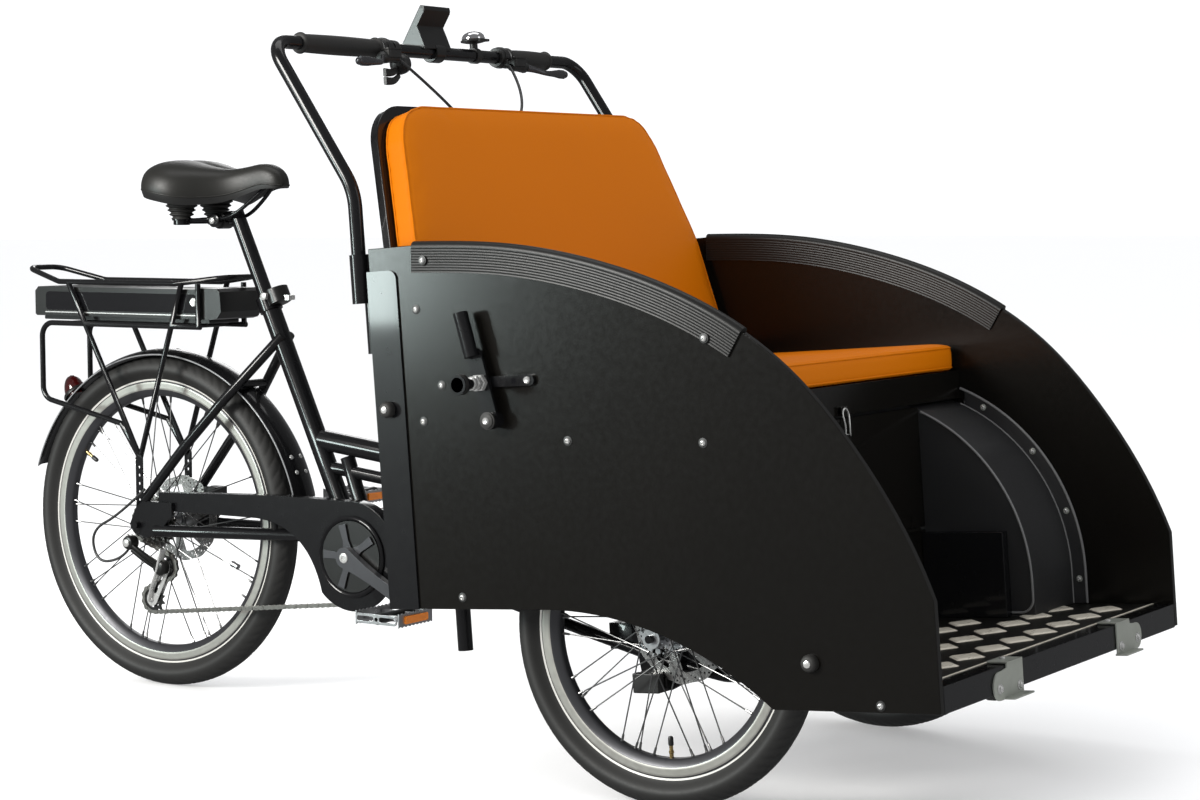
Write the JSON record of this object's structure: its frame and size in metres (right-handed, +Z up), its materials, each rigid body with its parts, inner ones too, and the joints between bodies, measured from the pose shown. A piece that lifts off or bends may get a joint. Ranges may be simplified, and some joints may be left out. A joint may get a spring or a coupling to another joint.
{
  "type": "cycle rickshaw",
  "caption": "Pedal tricycle with a padded two-seat passenger box between the front wheels, steered by a bar behind the backrest, with a rear rack and electric assist.",
  "frame": {"origin": "on the ground, under the middle of the overall length and width", "axes": "+X forward towards the passenger box's nose, +Y to the rider's left, +Z up"},
  "size_m": [2.1106, 1.034, 1.2199],
  "materials": {
    "tyre": "black rubber tyre with a pale reflective stripe on the side wall",
    "rim": "brushed silver rim",
    "hub": "silver hub and stainless spokes",
    "disc": "machined steel brake disc",
    "cog": "nickel-plated steel cogs",
    "plywood": "black film-faced plywood, satin",
    "trim": "dark grey rubber channel",
    "black_steel": "black gloss powder coat",
    "leatherette": "orange leatherette",
    "moulding": "grained grey-black moulding",
    "tread_plate": "bar-pattern tread plate",
    "zinc": "bright zinc plate",
    "grip": "black rubber grip",
    "black_plastic": "black moulded plastic",
    "chrome": "polished chrome",
    "chain": "oiled steel chain",
    "alloy": "silver alloy",
    "lamp": "red lens on a black base",
    "saddle": "black padded saddle cover",
    "cable": "black cable housing",
    "post": "silver seat post"
  },
  "bodies": {
    "rear_frame": {"main_frame": "black_steel", "seat_post": "post", "saddle": "saddle", "saddle_carrier": "black_steel", "motor_unit": "black_plastic", "chain_case": "black_plastic", "rear_fender": "black_plastic", "tail_lamp": "lamp", "rear_rack": "black_steel", "battery_case": "black_plastic", "rear_brake_caliper": "black_plastic", "drive_chain": "chain", "rear_derailleur": "black_plastic", "shift_cable": "cable"},
    "rear_wheel": {"rear_tyre": "tyre", "rear_rim": "rim", "rear_hub": "hub", "rear_brake_disc": "disc", "rear_cassette": "cog"},
    "crank": {"crank_set": "alloy"},
    "right_pedal": {"pedal_right": "alloy"},
    "left_pedal": {"pedal_left": "alloy"},
    "passenger_box": {"side_panel_left": "plywood", "side_panel_right": "plywood", "edge_trim_left": "trim", "edge_trim_right": "trim", "upright_left": "black_steel", "upright_right": "black_steel", "seat_board": "plywood", "seat_cushion": "leatherette", "back_panel": "plywood", "back_cushion": "leatherette", "wheel_arch_left": "moulding", "wheel_arch_right": "moulding", "foot_riser": "plywood", "side_box_left": "black_steel", "side_box_right": "black_steel", "floor_plate": "tread_plate", "nose_rail": "black_steel", "nose_brackets": "zinc", "front_frame": "black_steel", "handlebar": "black_steel", "hand_grips": "grip", "brake_levers": "black_plastic", "display_unit": "black_plastic", "bell": "chrome", "hood_bracket_left": "black_steel", "hood_bracket_right": "black_steel", "front_brake_calipers": "black_plastic", "brake_hoses": "cable"},
    "hatch": {"seat_hatch": "plywood"},
    "front_left_wheel": {"front_left_tyre": "tyre", "front_left_rim": "rim", "front_left_hub": "hub", "front_left_brake_disc": "disc"},
    "front_right_wheel": {"front_right_tyre": "tyre", "front_right_rim": "rim", "front_right_hub": "hub", "front_right_brake_disc": "disc"}
  },
  "joints": [
    {"name": "steering", "type": "hinge", "parent": "rear_frame", "child": "passenger_box", "pos_m": [0.42566, 0, 0.26], "axis": [0, 0, 1], "range_deg": [-30, 30]},
    {"name": "rear_wheel_spin", "type": "hinge", "parent": "rear_frame", "child": "rear_wheel", "pos_m": [-0.74935, 0, 0.305], "axis": [0, 1, 0], "continuous": true},
    {"name": "front_left_wheel_spin", "type": "hinge", "parent": "passenger_box", "child": "front_left_wheel", "pos_m": [0.54566, 0.35, 0.254], "axis": [0, 1, 0], "continuous": true},
    {"name": "front_right_wheel_spin", "type": "hinge", "parent": "passenger_box", "child": "front_right_wheel", "pos_m": [0.54566, -0.35, 0.254], "axis": [0, 1, 0], "continuous": true},
    {"name": "crank_spin", "type": "hinge", "parent": "rear_frame", "child": "crank", "pos_m": [-0.26234, 0, 0.28], "axis": [0, 1, 0], "continuous": true},
    {"name": "right_pedal_spin", "type": "hinge", "parent": "crank", "child": "right_pedal", "pos_m": [-0.11224, -0.144, 0.20019], "axis": [0, 1, 0], "continuous": true},
    {"name": "left_pedal_spin", "type": "hinge", "parent": "crank", "child": "left_pedal", "pos_m": [-0.41245, 0.144, 0.35981], "axis": [0, 1, 0], "continuous": true},
    {"name": "hatch_hinge", "type": "hinge", "parent": "passenger_box", "child": "hatch", "pos_m": [0.6727, 0, 0.3563], "axis": [0, 1, 0], "range_deg": [0, 90]}
  ]
}
